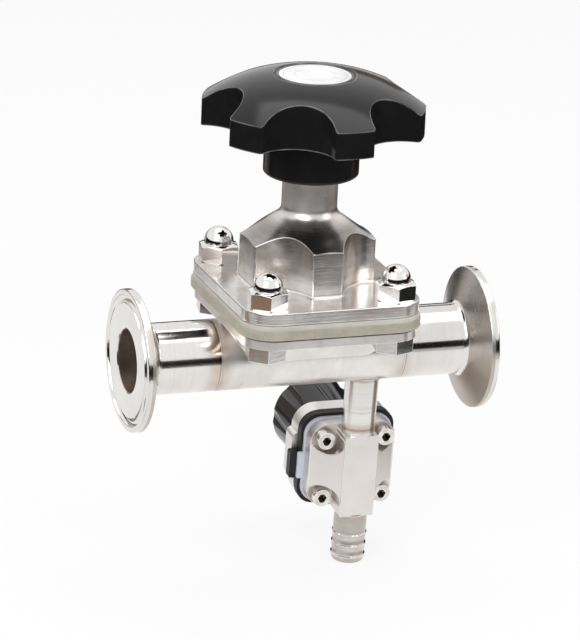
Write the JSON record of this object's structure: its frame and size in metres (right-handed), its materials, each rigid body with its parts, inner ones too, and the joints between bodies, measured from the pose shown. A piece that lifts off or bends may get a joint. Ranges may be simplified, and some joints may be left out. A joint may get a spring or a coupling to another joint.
{
  "type": "diaphragm valve",
  "caption": "Hygienic weir diaphragm valve with clamp ferrules, a lobed handwheel and a small diaphragm sampling valve with hose barb welded under its run.",
  "frame": {"origin": "centre of the inlet clamp ferrule's face, on the run axis", "axes": "+X along the run towards the outlet, +Z along the main spindle towards the handwheel, +Y towards the back, where the sampling valve's knob is"},
  "size_m": [0.13, 0.0949, 0.1848],
  "materials": {
    "run_body": "satin polished",
    "inlet_ferrule": "satin polished",
    "outlet_ferrule": "satin polished",
    "main_diaphragm_face": "moulded PTFE",
    "main_diaphragm_backing": "moulded, translucent cream",
    "main_membrane": "moulded PTFE face",
    "main_bonnet": "polished, with a satin bell",
    "neck_seal": "moulded",
    "spindle_nut": "turned",
    "main_compressor": "cast",
    "main_spindle": "turned",
    "handwheel": "moulded, glossy",
    "handwheel_nut": "plated",
    "handwheel_disc": "printed disc, left bare",
    "flange_bolts": "plain stainless",
    "dome_nuts": "polished stainless",
    "branch_stub": "satin polished",
    "sample_valve_block": "bead blasted",
    "hose_barb": "turned",
    "sample_diaphragm_face": "moulded PTFE, pale blue grey",
    "sample_diaphragm_backing": "moulded EPDM",
    "sample_membrane": "moulded PTFE face",
    "sample_bonnet": "bead blasted",
    "sample_spindle_nut": "turned",
    "sample_compressor": "turned",
    "sample_spindle": "turned",
    "sample_screws": "plain stainless",
    "sample_knob": "moulded, fine grained"
  },
  "bodies": {
    "valve_body": {"run_body": "run_body", "inlet_ferrule": "inlet_ferrule", "outlet_ferrule": "outlet_ferrule", "main_diaphragm_face": "main_diaphragm_face", "main_diaphragm_backing": "main_diaphragm_backing", "main_bonnet": "main_bonnet", "neck_seal": "neck_seal", "spindle_nut": "spindle_nut", "flange_bolts": "flange_bolts", "dome_nuts": "dome_nuts", "branch_stub": "branch_stub", "sample_valve_block": "sample_valve_block", "hose_barb": "hose_barb", "sample_diaphragm_face": "sample_diaphragm_face", "sample_diaphragm_backing": "sample_diaphragm_backing", "sample_bonnet": "sample_bonnet", "sample_spindle_nut": "sample_spindle_nut", "sample_screws": "sample_screws"},
    "main_compressor": {"main_compressor": "main_compressor", "main_membrane": "main_membrane"},
    "main_drive": {"main_spindle": "main_spindle", "handwheel": "handwheel", "handwheel_nut": "handwheel_nut", "handwheel_disc": "handwheel_disc"},
    "sample_compressor": {"sample_compressor": "sample_compressor", "sample_membrane": "sample_membrane"},
    "sample_drive": {"sample_spindle": "sample_spindle", "sample_knob": "sample_knob"}
  },
  "joints": [
    {"name": "main_lift", "type": "slide", "parent": "valve_body", "child": "main_compressor", "axis": [0, 0, 1], "range_m": [-0.0075, 0]},
    {"name": "main_turn", "type": "hinge", "parent": "main_compressor", "child": "main_drive", "pos_m": [0.065, 0, 0.09], "axis": [0, 0, 1], "range_deg": [-1080, 0]},
    {"name": "sample_lift", "type": "slide", "parent": "valve_body", "child": "sample_compressor", "axis": [0, 0.9957, 0.0924], "range_m": [-0.00225, 0]},
    {"name": "sample_turn", "type": "hinge", "parent": "sample_compressor", "child": "sample_drive", "pos_m": [0.0885, 0.04432, -0.0447], "axis": [0, 0.9957, 0.0924], "range_deg": [-540, 0]}
  ],
  "couplings": [
    {"joint": "main_turn", "follows": "main_lift", "rad_per_m": 2513.3},
    {"joint": "sample_turn", "follows": "sample_lift", "rad_per_m": 4188.8}
  ]
}
